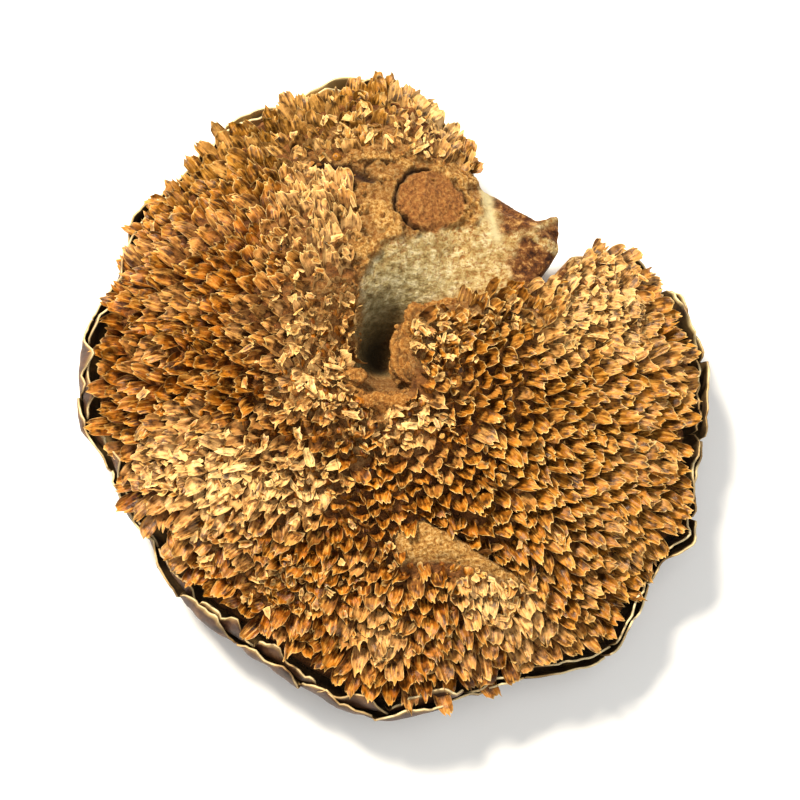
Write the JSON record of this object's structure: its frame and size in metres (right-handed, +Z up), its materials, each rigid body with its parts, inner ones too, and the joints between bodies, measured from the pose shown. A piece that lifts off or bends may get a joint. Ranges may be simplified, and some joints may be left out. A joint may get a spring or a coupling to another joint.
{
  "type": "sunflower seed head",
  "caption": "Dried sunflower seed head with its seeds gone: golden chaff cells in spirals over a warped plate with a torn hollow, and wavy brown bracts round the edge.",
  "frame": {"origin": "centre of the round flat on the back where the stalk was cut off, which is the lowest point and what the head rests on", "axes": "+Z is up, out of the face of the head; +Y points to the lobe of the rim left of the torn notch, and +X to the lobe right of it"},
  "size_m": [0.2184, 0.2271, 0.0577],
  "materials": {
    "pith": "dry, matt and spongy",
    "chaff": "papery, slightly shiny",
    "bract": "dry and leathery"
  },
  "bodies": {
    "root": {"receptacle": "pith", "chaff_bed": "chaff", "bracts_inner": "bract", "bracts_outer": "bract"}
  },
  "joints": []
}
